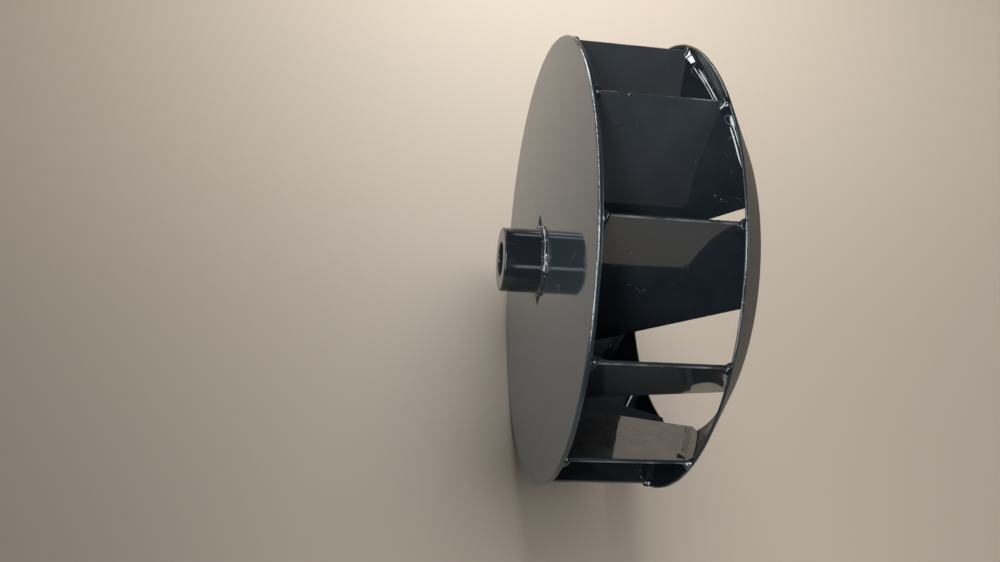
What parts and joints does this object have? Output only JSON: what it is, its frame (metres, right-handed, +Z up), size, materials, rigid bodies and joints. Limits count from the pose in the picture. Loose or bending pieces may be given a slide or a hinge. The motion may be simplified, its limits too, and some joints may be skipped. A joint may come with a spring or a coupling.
{
  "type": "centrifugal fan wheel",
  "caption": "Welded steel centrifugal fan wheel, gloss black, with flat backward-leaning blades between a back plate with a bored hub and a conical inlet shroud",
  "frame": {"origin": "on the wheel's axis, midway along the overall length from hub nose to inlet eye", "axes": "the wheel turns about Y, with the hub toward -Y and the inlet eye toward +Y; +Z is up and the wheel stands on its rims"},
  "size_m": [0.6294, 0.2768, 0.6294],
  "materials": {
    "sheet_enamel": "gloss blue-black enamel over sheet steel and the turned hub",
    "bead_enamel": "the same gloss black enamel over rippled fillet welds"
  },
  "bodies": {
    "root": {"back_plate": "sheet_enamel", "hub": "sheet_enamel", "hub_weld": "bead_enamel", "spigot_weld": "bead_enamel", "inlet_shroud": "sheet_enamel", "shroud_seam_weld": "sheet_enamel", "blade_01": "sheet_enamel", "plate_weld_01": "bead_enamel", "shroud_weld_01": "bead_enamel", "blade_02": "sheet_enamel", "plate_weld_02": "bead_enamel", "shroud_weld_02": "bead_enamel", "blade_03": "sheet_enamel", "plate_weld_03": "bead_enamel", "shroud_weld_03": "bead_enamel", "blade_04": "sheet_enamel", "plate_weld_04": "bead_enamel", "shroud_weld_04": "bead_enamel", "blade_05": "sheet_enamel", "plate_weld_05": "bead_enamel", "shroud_weld_05": "bead_enamel", "blade_06": "sheet_enamel", "plate_weld_06": "bead_enamel", "shroud_weld_06": "bead_enamel", "blade_07": "sheet_enamel", "plate_weld_07": "bead_enamel", "shroud_weld_07": "bead_enamel", "blade_08": "sheet_enamel", "plate_weld_08": "bead_enamel", "shroud_weld_08": "bead_enamel", "blade_09": "sheet_enamel", "plate_weld_09": "bead_enamel", "shroud_weld_09": "bead_enamel", "blade_10": "sheet_enamel", "plate_weld_10": "bead_enamel", "shroud_weld_10": "bead_enamel", "blade_11": "sheet_enamel", "plate_weld_11": "bead_enamel", "shroud_weld_11": "bead_enamel", "blade_12": "sheet_enamel", "plate_weld_12": "bead_enamel", "shroud_weld_12": "bead_enamel"}
  },
  "joints": []
}
